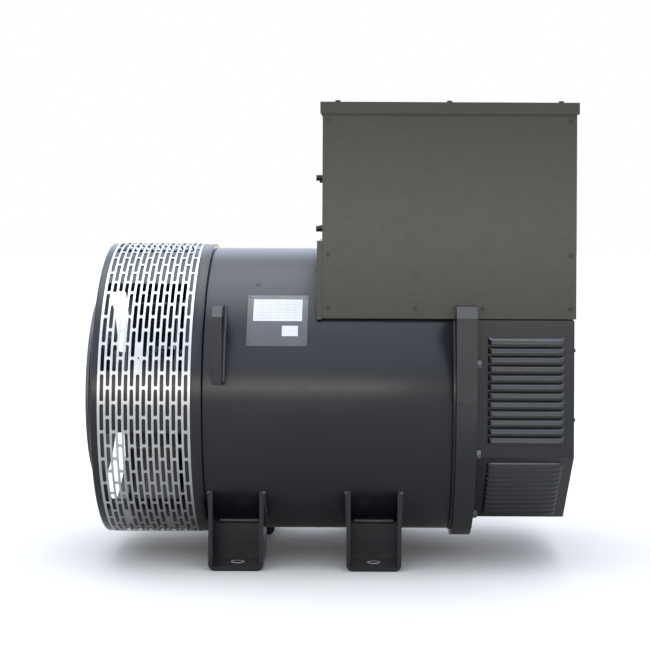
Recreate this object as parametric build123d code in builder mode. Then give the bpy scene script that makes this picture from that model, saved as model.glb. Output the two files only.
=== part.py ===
"""Large single-bearing generator alternator head.

The shaft lies along X. X = 0 is the mating face of the engine flange at the drive end, +X runs
towards the non-drive end, Z = 0 is the shaft axis and +Z is up. A rolled steel housing stands on
four bent-plate feet. A windowed bell with a slotted guard carries the engine flange, a cast shield
carries the single bearing, and a terminal box straddles the rear of the housing.
"""
from build123d import *

import os
from math import atan2, cos, degrees, hypot, radians, sin, sqrt

os.makedirs("parts", exist_ok=True)

# ---------------------------------------------------------------- driving dimensions, millimetres
floor_gap = 70.0  # from the housing's underside to the floor
fit_gap = 0.3  # clearance between pieces that are fitted together
bolt_clearance = 0.3

# engine interface: SAE J617 size 00 flange and SAE J620 size 18 coupling discs
bell_step = 11.325  # of the bell over the housing, which gives the flange its 441.325 radius
flange_thickness = 28.0
flange_depth = 63.325  # from the flange's outside in to its bore
flange_bolt_inset = 15.875
flange_bolts = 16
flange_hole = 7.0
flange_round = 5.0
spigot_inset = 47.675
spigot_height = 5.0
disc_radius = 285.75
disc_bolt_circle = 271.45
disc_holes = 6
disc_hole = 8.35
disc_thickness = 2.0
disc_pitch = 2.3
disc_count = 4
disc_front = -39.0

# bell and guard
window_end = 262.0
bell_end = 316.0
rear_ring_depth = 43.325
seat_drop = 1.0
bar_count = 6
bar_angle = 23.0
bar_depth = 36.325
guard_start = 21.0
guard_end = 285.0
guard_sheet = 2.0
guard_rows = 33
guard_columns = 15
guard_pitch = 17.0
slot_width = 10.8
slot_length = 77.0
guard_phase = -2.5  # turns the slot pattern, degrees
guard_blank = (6, 7)  # column and row of the cell left unslotted
bell_bolt_inset = 15.0
bell_bolt_angle = 11.0

# housing, feet and lugs
housing_radius = 430.0
housing_wall = 12.0
housing_end = 1032.0
end_ring_width = 8.0
end_ring_step = 3.0
inner_ring_depth = 42.0
inner_ring_length = 26.0
cable_hole_centre = 880.0
cable_hole_length = 180.0
cable_hole_width = 200.0
foot_centre = 408.0
foot_spacing = 400.0
foot_width = 160.0
foot_plate = 12.0
foot_bend = 20.0
foot_outer = 338.0
foot_web_place = 206.0
foot_hole_place = 265.0
foot_hole = 14.0
lug_start = 348.0
lug_thickness = 28.0
lug_stand = 40.0
lug_low = 52.0
lug_high = 272.0
lug_bevel = 28.0
lug_hole_inset = 45.0
lug_hole_z = 215.0
lug_hole = 27.5

# non-drive-end shield and its fasteners
shield_length = 58.0
shield_step = 19.0
shield_web = 24.0
shield_hub = 210.0
shield_arm = 70.0
shield_arms = 6
ear_width = 79.0
ear_gap = 4.0
ear_rise = 39.0
ear_bevel = 32.0
shield_bolts_count = 10
shield_bolt_inset = 12.0
shield_bolt_start = 21.0
big_shank = 8.0
big_head = 13.0
big_head_height = 11.0
washer_radius = 15.0
washer_height = 3.0
bolt_grip = 20.0

# bearing 120 x 260 x 55
bearing_bore = 60.0
bearing_outer = 130.0
bearing_width = 55.0
race = 18.0
roller_count = 12
cap_thickness = 12.0
cap_lap = 30.0

# stator, rotor and exciter
core_start = 460.0
core_length = 420.0
core_depth = 118.0
slots = 36
stator_slot_width = 20.0
stator_slot_depth = 46.0
end_turn_length = 62.0
end_turn_rise = 40.0
air_gap = 4.0
pole_width = 190.0
shoe_width = 350.0
shoe_depth = 50.0
coil_side = 30.0
coil_inner = 155.0
shaft_radius = 75.0
shaft_front = -25.0
shaft_shoulder = 1030.0
exciter_shaft = 54.0
shaft_end = 1262.0
hub_flange = 150.0
hub_flange_thickness = 24.0
hub_radius = 108.0
hub_end_gap = 4.0
clamp_thickness = 10.0
hub_bolt_circle = 128.0
hub_bolt_count = 8
medium_shank = 8.0
medium_head = 12.0
medium_head_height = 10.0
fan_front = 90.0
fan_plate = 6.0
fan_width = 142.0
fan_gap = 15.0
fan_blade_depth = 128.0
fan_blade_inset = 1.0
fan_blades = 11
fan_lean = 28.0
fan_hub_depth = 60.0
exciter_start = 1132.0
exciter_length = 62.0
exciter_outer = 205.0
exciter_bore = 150.0
exciter_gap = 2.0
exciter_posts = 4
exciter_post_radius = 11.0
rectifier_start = 1208.0
rectifier_thickness = 10.0
rectifier_radius = 118.0
diode_count = 6
diode_circle = 90.0
diode_radius = 12.0
diode_height = 16.0

# rear cover
sheet = 3.0
cover_half = 372.0
cover_joint = 3.0
cover_crease = -162.0
cover_floor = -381.0
cover_floor_half = 110.0
cover_end = 1382.0
cover_flange = 25.0
louvre_start = 1138.0
louvre_length = 214.0
louvre_pitch = 25.7
louvre_side_count = 12
louvre_slant_count = 11
louvre_side_margin = 50.0
louvre_slant_margin = 30.0
louvre_height = 19.0
louvre_reach = 10.0
louvre_skin = 1.6
rear_bolt_high = 145.0
rear_bolt_low = -55.0
rear_bolt_inset = 14.0

# terminal box
box_start = 655.0
box_end = 1387.0
box_clearance = 19.3243  # of the box's walls over the housing's flank
box_height = 620.0
box_border = 34.0
panel_gap = 5.0
lid_drop = 30.0
lid_overhang = 7.0
lid_bolt_margin = 50.0
lid_bolt_inset = 22.0
saddle_length = 15.0
saddle_rise = 28.0
screw_radius = 3.0
screw_head = 5.5
screw_head_height = 4.5
screw_grip = 9.0
panel_screw_margin = 17.0
panel_screw_low = 29.0
panel_screw_mid = 183.0
panel_screw_high = 571.0
panel_screw_spread = 96.5
gland_rise = 240.0
gland_height = 185.0
gland_half = 170.0
gland_sheet = 5.0
gland_stud = 5.0
gland_stud_length = 20.0
gland_inset = 16.0
plug_rise = 115.0
plug_radius = 17.0
plug_depth = 8.0
tray_rise = 265.0
tray_sheet = 4.0
board_start = 720.0
board_length = 330.0
board_width = 120.0
board_thickness = 22.0
stud_count = 6
stud_radius = 8.0
stud_height = 60.0
regulator_start = 1150.0
regulator_length = 150.0
regulator_width = 190.0
regulator_height = 52.0

# nameplate
plate_start = 440.0
plate_end = 614.0
plate_angle = 147.5  # middle of the plate, from +Y towards +Z
plate_spread = 22.2
plate_sheet = 1.0

# ---------------------------------------------------------------- places worked out from the sizes
shaft_height = housing_radius + floor_gap
flange_radius = housing_radius + bell_step
flange_bore = flange_radius - flange_depth
flange_bolt_circle = flange_radius - flange_bolt_inset
spigot_radius = flange_radius - spigot_inset
rear_ring_bore = flange_radius - rear_ring_depth
bar_inner = flange_radius - bar_depth
bell_bolt_circle = housing_radius - bell_bolt_inset
end_ring_radius = housing_radius + end_ring_step
inner_ring_bore = housing_radius - inner_ring_depth
lug_reach = housing_radius + lug_stand
lug_hole_y = lug_reach - lug_hole_inset
shield_radius = housing_radius + shield_step
shield_rim_bore = inner_ring_bore
shield_bolt_circle = housing_radius - shield_bolt_inset
fan_radius = bar_inner - fan_gap
fan_eye = fan_radius - fan_blade_depth
ear_inner = cover_half + ear_gap
ear_reach = ear_inner + ear_width
box_bottom = sqrt(housing_radius**2 - cover_half**2) + box_clearance
box_top = box_bottom + box_height
box_middle = (box_start + box_end) / 2
box_length = box_end - box_start
panel_top = box_top - lid_drop - panel_gap
ear_high = box_bottom + ear_rise
cover_top = box_bottom - cover_joint
lid_start = box_start - lid_overhang
lid_end = box_end + lid_overhang
lid_half = cover_half + lid_overhang
saddle_start = box_start - saddle_length
saddle_top = housing_radius + saddle_rise
gland_low = box_bottom + gland_rise
gland_high = gland_low + gland_height
plug_height = box_bottom + plug_rise
tray_height = box_bottom + tray_rise
seat_radius = flange_radius - seat_drop
housing_bore = housing_radius - housing_wall
core_bore = housing_bore - core_depth
shield_start = housing_end + end_ring_width
shield_end = shield_start + shield_length
core_end = core_start + core_length
rotor_radius = core_bore - air_gap
disc_back = disc_front + (disc_count - 1) * disc_pitch + disc_thickness
hub_front = disc_back + fit_gap
hub_end = fan_front - hub_end_gap
bearing_start = shield_start + (shield_length - bearing_width) / 2
bearing_end = bearing_start + bearing_width
body_half = cover_half - sheet
exciter_end = exciter_start + exciter_length
tray_top = tray_height + tray_sheet
board_top = tray_top + board_thickness
cover_outline = [
    (cover_half, cover_top), (cover_half, cover_crease), (cover_floor_half, cover_floor),
    (-cover_floor_half, cover_floor), (-cover_half, cover_crease), (-cover_half, cover_top),
]
shield_bolt_angles = [
    shield_bolt_start + k * 360 / shield_bolts_count for k in range(shield_bolts_count)
]
bell_bolt_angles = [
    360 / bar_count * (k + 0.5) + side * bell_bolt_angle for k in range(bar_count) for side in (-1, 1)
]
panel_screw_places = [
    (x, box_bottom + rise)
    for x in (box_start + panel_screw_margin, box_end - panel_screw_margin)
    for rise in (panel_screw_low, panel_screw_mid, panel_screw_high)
] + [(box_middle + side * panel_screw_spread, box_bottom + panel_screw_low) for side in (-1, 1)]
lid_bolt_places = [
    (x, side * (body_half - lid_bolt_inset))
    for x in (lid_start + lid_bolt_margin, box_middle, lid_end - lid_bolt_margin)
    for side in (-1, 1)
]
gland_places = [
    (side * (gland_half - gland_inset), z)
    for side in (-1, 1)
    for z in (gland_low + gland_inset, gland_high - gland_inset)
]
rear_bolt_places = [
    (side * (cover_half - rear_bolt_inset), z) for z in (rear_bolt_high, rear_bolt_low) for side in (-1, 1)
]


def wedge(centre, width):
    """Corners of a wedge from the axis to well outside the machine, angles in degrees."""
    reach = 2 * flange_radius
    edges = [radians(centre - width / 2), radians(centre + width / 2)]
    return [(0, 0)] + [(reach * cos(a), reach * sin(a)) for a in edges]


def on_circle(radius, angles):
    """Points of a bolt circle in the YZ plane."""
    return [(radius * cos(radians(a)), radius * sin(radians(a))) for a in angles]


def evenly(count, start=0.0):
    """Angles of an even pattern."""
    return [start + k * 360 / count for k in range(count)]


# ---------------------------------------------------------------- drive-end bell and guard
with BuildPart() as drive_end_bell:
    with BuildSketch(Plane.XZ):
        Polygon(
            (-spigot_height, flange_bore), (-spigot_height, spigot_radius), (0, spigot_radius),
            (0, flange_radius - flange_round), (flange_round, flange_radius), (guard_start, flange_radius),
            (guard_start, seat_radius), (flange_thickness, seat_radius), (flange_thickness, flange_bore),
            align=None,
        )
        Polygon(
            (window_end, rear_ring_bore), (window_end, seat_radius), (guard_end, seat_radius),
            (guard_end, flange_radius), (bell_end, flange_radius), (bell_end, rear_ring_bore), align=None,
        )
    revolve(axis=Axis.X)
    with BuildSketch(Plane.YZ.offset(flange_thickness)):
        for angle in evenly(bar_count):
            Polygon(*wedge(angle, bar_angle), align=None)
        Circle(seat_radius, mode=Mode.INTERSECT)
        Circle(bar_inner, mode=Mode.SUBTRACT)
    extrude(amount=window_end - flange_thickness)
    with BuildSketch(Plane.YZ):
        with Locations(*on_circle(flange_bolt_circle, evenly(flange_bolts, 180 / flange_bolts))):
            Circle(flange_hole)
    extrude(amount=flange_thickness + 3 * flange_hole, mode=Mode.SUBTRACT)
    with BuildSketch(Plane.YZ.offset(window_end)):
        with Locations(*on_circle(bell_bolt_circle, bell_bolt_angles)):
            Circle(big_shank + bolt_clearance)
    extrude(amount=bell_end - window_end, mode=Mode.SUBTRACT)
drive_end_bell.part.label = "drive_end_bell"
export_step(drive_end_bell.part, "parts/drive_end_bell.step")

guard_radius = seat_radius + fit_gap + guard_sheet
guard_margin = (guard_end - guard_start - (guard_columns - 1) * guard_pitch) / 2
slot_places = [
    Location((0, 0, 0), ((row + column % 2 / 2) * 360 / guard_rows + guard_phase, 0, 0))
    * Location((guard_start + guard_margin + column * guard_pitch, 0, guard_radius))
    for column in range(guard_columns)
    for row in range(guard_rows)
    if (column, row) != guard_blank
]
with BuildPart() as fan_guard:
    with BuildSketch(Plane.YZ.offset(guard_start + fit_gap)):
        Circle(guard_radius)
        Circle(guard_radius - guard_sheet, mode=Mode.SUBTRACT)
    extrude(amount=guard_end - guard_start - 2 * fit_gap)
    with Locations(*slot_places):
        Box(slot_width, slot_length, 8 * guard_sheet, mode=Mode.SUBTRACT)
fan_guard.part.label = "fan_guard"
export_step(fan_guard.part, "parts/fan_guard.step")

with BuildPart() as bell_bolts:
    with BuildSketch(Plane.YZ.offset(window_end - big_head_height)):
        with Locations(*on_circle(bell_bolt_circle, bell_bolt_angles)):
            RegularPolygon(big_head, 6)
    extrude(amount=big_head_height)
    with BuildSketch(Plane.YZ.offset(window_end)):
        with Locations(*on_circle(bell_bolt_circle, bell_bolt_angles)):
            Circle(big_shank)
    extrude(amount=bell_end + bolt_grip - window_end)
bell_bolts.part.label = "bell_bolts"
export_step(bell_bolts.part, "parts/bell_bolts.step")

# ---------------------------------------------------------------- stator frame
with BuildPart() as housing_shell:
    with BuildSketch(Plane.XZ):
        Polygon(
            (bell_end, inner_ring_bore), (bell_end, housing_radius), (housing_end, housing_radius),
            (housing_end, inner_ring_bore), (housing_end - inner_ring_length, inner_ring_bore),
            (housing_end - inner_ring_length, housing_bore), (bell_end + inner_ring_length, housing_bore),
            (bell_end + inner_ring_length, inner_ring_bore), align=None,
        )
    revolve(axis=Axis.X)
    with Locations((cable_hole_centre, 0, housing_radius)):
        Box(cable_hole_length, cable_hole_width, 6 * housing_wall, mode=Mode.SUBTRACT)
    with BuildSketch(Plane.YZ.offset(bell_end)):
        with Locations(*on_circle(bell_bolt_circle, bell_bolt_angles)):
            Circle(big_shank + bolt_clearance)
    extrude(amount=inner_ring_length, mode=Mode.SUBTRACT)
    with BuildSketch(Plane.YZ.offset(housing_end)):
        with Locations(*on_circle(shield_bolt_circle, shield_bolt_angles)):
            Circle(big_shank + bolt_clearance)
    extrude(amount=-inner_ring_length, mode=Mode.SUBTRACT)
housing_shell.part.label = "housing_shell"
export_step(housing_shell.part, "parts/housing_shell.step")

with BuildPart() as housing_end_ring:
    with BuildSketch(Plane.YZ.offset(housing_end)):
        Circle(end_ring_radius)
        Circle(inner_ring_bore, mode=Mode.SUBTRACT)
        with Locations(*on_circle(shield_bolt_circle, shield_bolt_angles)):
            Circle(big_shank + bolt_clearance, mode=Mode.SUBTRACT)
    extrude(amount=end_ring_width)
housing_end_ring.part.label = "housing_end_ring"
export_step(housing_end_ring.part, "parts/housing_end_ring.step")

for side, side_name in ((-1, "near"), (1, "far")):
    with BuildPart() as lifting_lug:
        with BuildSketch(Plane.YZ.offset(lug_start)):
            Polygon(
                (side * housing_radius / 2, lug_low), (side * lug_reach, lug_low),
                (side * lug_reach, lug_high - lug_bevel), (side * (lug_reach - lug_bevel), lug_high),
                (side * housing_radius / 2, lug_high), align=None,
            )
            Circle(housing_radius + fit_gap, mode=Mode.SUBTRACT)
            with Locations((side * lug_hole_y, lug_hole_z)):
                Circle(lug_hole, mode=Mode.SUBTRACT)
        extrude(amount=lug_thickness)
    lifting_lug.part.label = f"lifting_lug_{side_name}"
    export_step(lifting_lug.part, f"parts/lifting_lug_{side_name}.step")

    for centre, end_name in ((foot_centre, "front"), (foot_centre + foot_spacing, "rear")):
        with BuildPart() as foot:
            # bent channel, drawn looking along Y
            with BuildSketch(Plane.XZ.offset(-side * foot_outer)) as section:
                with Locations((centre, -shaft_height)):
                    Rectangle(foot_width, shaft_height, align=(Align.CENTER, Align.MIN))
                fillet(section.vertices().group_by(Axis.Y)[0], foot_bend)
                with Locations((centre, -shaft_height + foot_plate)):
                    Rectangle(
                        foot_width - 2 * foot_plate, shaft_height, align=(Align.CENTER, Align.MIN),
                        mode=Mode.SUBTRACT,
                    )
            extrude(amount=side * (foot_outer - foot_web_place + foot_plate))
            # web across the back of the channel
            with Locations((centre, side * (foot_web_place - foot_plate / 2), -shaft_height + foot_plate)):
                Box(
                    foot_width - 2 * foot_plate, foot_plate, shaft_height - foot_plate,
                    align=(Align.CENTER, Align.CENTER, Align.MIN),
                )
            with Locations((centre, 0, 0)):
                Cylinder(
                    housing_radius + fit_gap, 2 * foot_width, rotation=(0, 90, 0), mode=Mode.SUBTRACT,
                )
            with Locations((centre, side * foot_hole_place, -shaft_height)):
                Cylinder(foot_hole, 3 * foot_plate, mode=Mode.SUBTRACT)
        foot.part.label = f"foot_{end_name}_{side_name}"
        export_step(foot.part, f"parts/foot_{end_name}_{side_name}.step")

with BuildPart() as nameplate:
    with BuildSketch(Plane.YZ.offset(plate_start)):
        Polygon(*wedge(plate_angle, plate_spread), align=None)
        Circle(housing_radius + fit_gap + plate_sheet, mode=Mode.INTERSECT)
        Circle(housing_radius + fit_gap, mode=Mode.SUBTRACT)
    extrude(amount=plate_end - plate_start)
nameplate.part.label = "nameplate"
export_step(nameplate.part, "parts/nameplate.step")

# ---------------------------------------------------------------- stator
with BuildPart() as stator_core:
    with BuildSketch(Plane.YZ.offset(core_start)):
        Circle(housing_bore - fit_gap)
        Circle(core_bore, mode=Mode.SUBTRACT)
        with PolarLocations(core_bore, slots):
            Rectangle(2 * stator_slot_depth, stator_slot_width, mode=Mode.SUBTRACT)
    extrude(amount=core_length)
stator_core.part.label = "stator_core"
export_step(stator_core.part, "parts/stator_core.step")

with BuildPart() as stator_winding:
    with BuildSketch(Plane.YZ.offset(core_start - 2 * fit_gap)):
        with PolarLocations(core_bore + stator_slot_depth / 2, slots):
            Rectangle(stator_slot_depth - 4 * fit_gap, stator_slot_width - 2 * fit_gap)
    extrude(amount=core_length + 4 * fit_gap)
    for face, direction in ((core_start - fit_gap, -1), (core_end + fit_gap, 1)):
        with BuildSketch(Plane.XZ):
            Polygon(
                (face, core_bore + air_gap), (face + direction * end_turn_length, core_bore + 2 * air_gap),
                (face + direction * end_turn_length, core_bore + stator_slot_depth + end_turn_rise / 2),
                (face + direction * end_turn_length / 2, core_bore + stator_slot_depth + end_turn_rise),
                (face, core_bore + stator_slot_depth), align=None,
            )
        revolve(axis=Axis.X)
stator_winding.part.label = "stator_winding"
export_step(stator_winding.part, "parts/stator_winding.step")

# ---------------------------------------------------------------- non-drive-end shield
with BuildPart() as rear_shield:
    with BuildSketch(Plane.YZ.offset(shield_start)):
        Circle(shield_radius)
        Circle(shield_rim_bore, mode=Mode.SUBTRACT)
        for side in (-1, 1):
            Polygon(
                (side * ear_inner, 0), (side * ear_reach, 0), (side * ear_reach, ear_high - ear_bevel),
                (side * (ear_reach - ear_bevel), ear_high), (side * ear_inner, ear_high), align=None,
            )
        Circle(shield_rim_bore, mode=Mode.SUBTRACT)
    extrude(amount=shield_length)
    with BuildSketch(Plane.YZ.offset(shield_start + (shield_length - shield_web) / 2)):
        for angle in evenly(shield_arms, 180 / shield_arms):
            with Locations(Location((0, 0, 0), (0, 0, angle))):
                Rectangle(shield_rim_bore + sheet, shield_arm, align=(Align.MIN, Align.CENTER))
        Circle(bearing_outer + fit_gap, mode=Mode.SUBTRACT)
    extrude(amount=shield_web)
    with BuildSketch(Plane.YZ.offset(shield_start)):
        Circle(shield_hub)
        Circle(bearing_outer + fit_gap, mode=Mode.SUBTRACT)
    extrude(amount=shield_length)
    # the box walls pass down through two notches beside the ears
    with Locations(*[(shield_start + shield_length / 2, side * ear_inner, box_bottom - sheet) for side in (-1, 1)]):
        Box(
            2 * shield_length, 2 * (ear_inner - body_half + 2 * sheet), shield_radius,
            align=(Align.CENTER, Align.CENTER, Align.MIN), mode=Mode.SUBTRACT,
        )
    for side in (-1, 1):
        with BuildSketch(Plane.YZ.offset(shield_start)):
            Polygon(
                (side * ear_inner, box_bottom - 2 * sheet), (side * ear_reach, box_bottom - 2 * sheet),
                (side * ear_reach, ear_high - ear_bevel), (side * (ear_reach - ear_bevel), ear_high),
                (side * ear_inner, ear_high), align=None,
            )
        extrude(amount=shield_length)
    with BuildSketch(Plane.YZ.offset(shield_start)):
        with Locations(*on_circle(shield_bolt_circle, shield_bolt_angles)):
            Circle(big_shank + bolt_clearance)
    extrude(amount=shield_length, mode=Mode.SUBTRACT)
rear_shield.part.label = "rear_shield"
export_step(rear_shield.part, "parts/rear_shield.step")

with BuildPart() as shield_washers:
    with BuildSketch(Plane.YZ.offset(shield_end)):
        with Locations(*on_circle(shield_bolt_circle, shield_bolt_angles)):
            Circle(washer_radius)
            Circle(big_shank + bolt_clearance, mode=Mode.SUBTRACT)
    extrude(amount=washer_height)
shield_washers.part.label = "shield_washers"
export_step(shield_washers.part, "parts/shield_washers.step")

with BuildPart() as shield_bolts:
    with BuildSketch(Plane.YZ.offset(shield_end + washer_height)):
        with Locations(*on_circle(shield_bolt_circle, shield_bolt_angles)):
            RegularPolygon(big_head, 6)
    extrude(amount=big_head_height)
    with BuildSketch(Plane.YZ.offset(housing_end - bolt_grip)):
        with Locations(*on_circle(shield_bolt_circle, shield_bolt_angles)):
            Circle(big_shank)
    extrude(amount=shield_end + washer_height - housing_end + bolt_grip)
shield_bolts.part.label = "shield_bolts"
export_step(shield_bolts.part, "parts/shield_bolts.step")

# ---------------------------------------------------------------- bearing
bearing_rings = (
    ("bearing_outer_ring", bearing_outer, bearing_outer - race),
    ("bearing_inner_ring", bearing_bore + fit_gap + race, bearing_bore + fit_gap),
)
for node, outer, inner in bearing_rings:
    with BuildPart() as ring:
        with BuildSketch(Plane.YZ.offset(bearing_start)):
            Circle(outer)
            Circle(inner, mode=Mode.SUBTRACT)
        extrude(amount=bearing_width)
    ring.part.label = node
    export_step(ring.part, f"parts/{node}.step")

roller_space = bearing_outer - race - (bearing_bore + fit_gap + race)
with BuildPart() as bearing_rollers:
    with BuildSketch(Plane.YZ.offset(bearing_start + race / 2)):
        with Locations(*on_circle(bearing_outer - race - roller_space / 2, evenly(roller_count))):
            Circle(roller_space / 2 - fit_gap)
    extrude(amount=bearing_width - race)
bearing_rollers.part.label = "bearing_rollers"
export_step(bearing_rollers.part, "parts/bearing_rollers.step")

with BuildPart() as bearing_cap:
    with BuildSketch(Plane.YZ.offset(shield_end)):
        Circle(bearing_outer + cap_lap)
        Circle(bearing_bore + race / 2, mode=Mode.SUBTRACT)
    extrude(amount=cap_thickness)
bearing_cap.part.label = "bearing_cap"
export_step(bearing_cap.part, "parts/bearing_cap.step")

# ---------------------------------------------------------------- rotor
with BuildPart() as shaft:
    with BuildSketch(Plane.XZ):
        Polygon(
            (shaft_front, 0), (shaft_front, shaft_radius), (shaft_shoulder, shaft_radius),
            (shaft_shoulder, bearing_bore), (bearing_end, bearing_bore), (bearing_end, exciter_shaft),
            (shaft_end, exciter_shaft), (shaft_end, 0), align=None,
        )
    revolve(axis=Axis.X)
shaft.part.label = "shaft"
export_step(shaft.part, "parts/shaft.step")

with BuildPart() as coupling_hub:
    with BuildSketch(Plane.XZ):
        Polygon(
            (hub_front, shaft_radius + fit_gap), (hub_front, hub_flange),
            (hub_front + hub_flange_thickness, hub_flange), (hub_front + hub_flange_thickness, hub_radius),
            (hub_end, hub_radius - 4 * sheet), (hub_end, shaft_radius + fit_gap), align=None,
        )
    revolve(axis=Axis.X)
    with BuildSketch(Plane.YZ.offset(hub_front)):
        with Locations(*on_circle(hub_bolt_circle, evenly(hub_bolt_count))):
            Circle(medium_shank + bolt_clearance)
    extrude(amount=hub_flange_thickness, mode=Mode.SUBTRACT)
coupling_hub.part.label = "coupling_hub"
export_step(coupling_hub.part, "parts/coupling_hub.step")

with BuildPart() as coupling_discs:
    for k in range(disc_count):
        with BuildSketch(Plane.YZ.offset(disc_front + k * disc_pitch)):
            Circle(disc_radius)
            Circle(shaft_radius, mode=Mode.SUBTRACT)
            with Locations(*on_circle(disc_bolt_circle, evenly(disc_holes, 180 / disc_holes))):
                Circle(disc_hole, mode=Mode.SUBTRACT)
            with Locations(*on_circle(hub_bolt_circle, evenly(hub_bolt_count))):
                Circle(medium_shank + bolt_clearance, mode=Mode.SUBTRACT)
        extrude(amount=disc_thickness)
coupling_discs.part.label = "coupling_discs"
export_step(coupling_discs.part, "parts/coupling_discs.step")

clamp_front = disc_front - fit_gap - clamp_thickness
with BuildPart() as coupling_clamp_ring:
    with BuildSketch(Plane.YZ.offset(clamp_front)):
        Circle(hub_flange)
        Circle(shaft_radius, mode=Mode.SUBTRACT)
        with Locations(*on_circle(hub_bolt_circle, evenly(hub_bolt_count))):
            Circle(medium_shank + bolt_clearance, mode=Mode.SUBTRACT)
    extrude(amount=clamp_thickness)
coupling_clamp_ring.part.label = "coupling_clamp_ring"
export_step(coupling_clamp_ring.part, "parts/coupling_clamp_ring.step")

with BuildPart() as hub_bolts:
    with BuildSketch(Plane.YZ.offset(clamp_front - medium_head_height)):
        with Locations(*on_circle(hub_bolt_circle, evenly(hub_bolt_count))):
            RegularPolygon(medium_head, 6)
    extrude(amount=medium_head_height)
    with BuildSketch(Plane.YZ.offset(clamp_front)):
        with Locations(*on_circle(hub_bolt_circle, evenly(hub_bolt_count))):
            Circle(medium_shank)
    extrude(amount=hub_front + hub_flange_thickness - clamp_front)
hub_bolts.part.label = "hub_bolts"
export_step(hub_bolts.part, "parts/hub_bolts.step")

blade_start = fan_front + fan_plate
with BuildPart() as fan:
    with BuildSketch(Plane.YZ.offset(fan_front)):
        Circle(fan_radius)
        Circle(shaft_radius + fit_gap, mode=Mode.SUBTRACT)
    extrude(amount=fan_plate)
    with BuildSketch(Plane.YZ.offset(fan_front + fan_plate)):
        Circle(hub_radius)
        Circle(shaft_radius + fit_gap, mode=Mode.SUBTRACT)
    extrude(amount=fan_hub_depth)
    with BuildSketch(Plane.YZ.offset(blade_start)):
        for x, y in on_circle((fan_radius + fan_eye) / 2, evenly(fan_blades)):
            with Locations(Location((x, y, 0), (0, 0, degrees(atan2(y, x)) + fan_lean))):
                Rectangle((fan_radius - fan_eye) * 1.3, fan_plate)
        Circle(fan_radius - fan_blade_inset, mode=Mode.INTERSECT)
    extrude(amount=fan_width - fan_plate)
    with BuildSketch(Plane.YZ.offset(fan_front + fan_width)):
        Circle(fan_radius)
        Circle(fan_eye, mode=Mode.SUBTRACT)
    extrude(amount=fan_plate)
fan.part.label = "fan"
export_step(fan.part, "parts/fan.step")

with BuildPart() as rotor_core:
    with BuildSketch(Plane.YZ.offset(core_start)):
        Circle(coil_inner - 2 * fit_gap)
        for angle in evenly(4, 45):
            with Locations(Location((0, 0, 0), (0, 0, angle))):
                Rectangle(rotor_radius, pole_width, align=(Align.MIN, Align.CENTER))
        for x, y in on_circle(rotor_radius - shoe_depth / 2, evenly(4, 45)):
            with Locations(Location((x, y, 0), (0, 0, degrees(atan2(y, x))))):
                Rectangle(shoe_depth, shoe_width)
        Circle(rotor_radius, mode=Mode.INTERSECT)
        Circle(shaft_radius + fit_gap, mode=Mode.SUBTRACT)
    extrude(amount=core_length)
rotor_core.part.label = "rotor_core"
export_step(rotor_core.part, "parts/rotor_core.step")

coil_depth = rotor_radius - shoe_depth - 4 * fit_gap - coil_inner
with BuildPart() as rotor_windings:
    for angle in evenly(4, 45):
        spoke = Location((0, 0, 0), (angle, 0, 0))
        spot = Location((core_start + core_length / 2, 0, coil_inner + coil_depth / 2))
        with Locations(spoke * spot):
            Box(core_length + 2 * coil_side, pole_width + 2 * coil_side, coil_depth)
            Box(core_length + 2 * fit_gap, pole_width + 2 * fit_gap, coil_depth, mode=Mode.SUBTRACT)
rotor_windings.part.label = "rotor_windings"
export_step(rotor_windings.part, "parts/rotor_windings.step")

# ---------------------------------------------------------------- exciter
with BuildPart() as exciter_stator:
    with BuildSketch(Plane.YZ.offset(exciter_start)):
        Circle(exciter_outer)
        Circle(exciter_bore, mode=Mode.SUBTRACT)
    extrude(amount=exciter_length)
    with BuildSketch(Plane.YZ.offset(shield_end)):
        with Locations(*on_circle((exciter_outer + exciter_bore) / 2 + exciter_post_radius,
                                  evenly(exciter_posts, 45))):
            Circle(exciter_post_radius)
    extrude(amount=exciter_start - shield_end)
exciter_stator.part.label = "exciter_stator"
export_step(exciter_stator.part, "parts/exciter_stator.step")

with BuildPart() as exciter_rotor:
    with BuildSketch(Plane.YZ.offset(exciter_start)):
        Circle(exciter_bore - exciter_gap)
        Circle(exciter_shaft + fit_gap, mode=Mode.SUBTRACT)
    extrude(amount=exciter_length)
exciter_rotor.part.label = "exciter_rotor"
export_step(exciter_rotor.part, "parts/exciter_rotor.step")

with BuildPart() as rectifier_plate:
    with BuildSketch(Plane.YZ.offset(rectifier_start)):
        Circle(rectifier_radius)
        Circle(exciter_shaft + fit_gap, mode=Mode.SUBTRACT)
    extrude(amount=rectifier_thickness)
    with BuildSketch(Plane.YZ.offset(rectifier_start + rectifier_thickness)):
        with Locations(*on_circle(diode_circle, evenly(diode_count))):
            RegularPolygon(diode_radius, 6)
    extrude(amount=diode_height)
rectifier_plate.part.label = "rectifier_plate"
export_step(rectifier_plate.part, "parts/rectifier_plate.step")

# ---------------------------------------------------------------- louvred rear cover
slant = (cover_floor_half - cover_half, cover_floor - cover_crease)
slant_length = hypot(*slant)
louvre_rows = [(cover_half, cover_top, 0, -1, louvre_side_margin + k * louvre_pitch)
               for k in range(louvre_side_count)]
louvre_rows += [(cover_half, cover_crease, slant[0] / slant_length, slant[1] / slant_length,
                 louvre_slant_margin + k * louvre_pitch) for k in range(louvre_slant_count)]


def along(row, down, out):
    """A point of the panel at a distance down from the louvre's top edge and out from the sheet."""
    y, z, run_y, run_z, place = row
    return (y + run_y * (place + down) - run_z * out, z + run_z * (place + down) + run_y * out)


def louvre_part(row, corners):
    """Draws one closed outline on both sides of the cover."""
    for side in (1, -1):
        Polygon(*[(side * along(row, *c)[0], along(row, *c)[1]) for c in corners], align=None)


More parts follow.
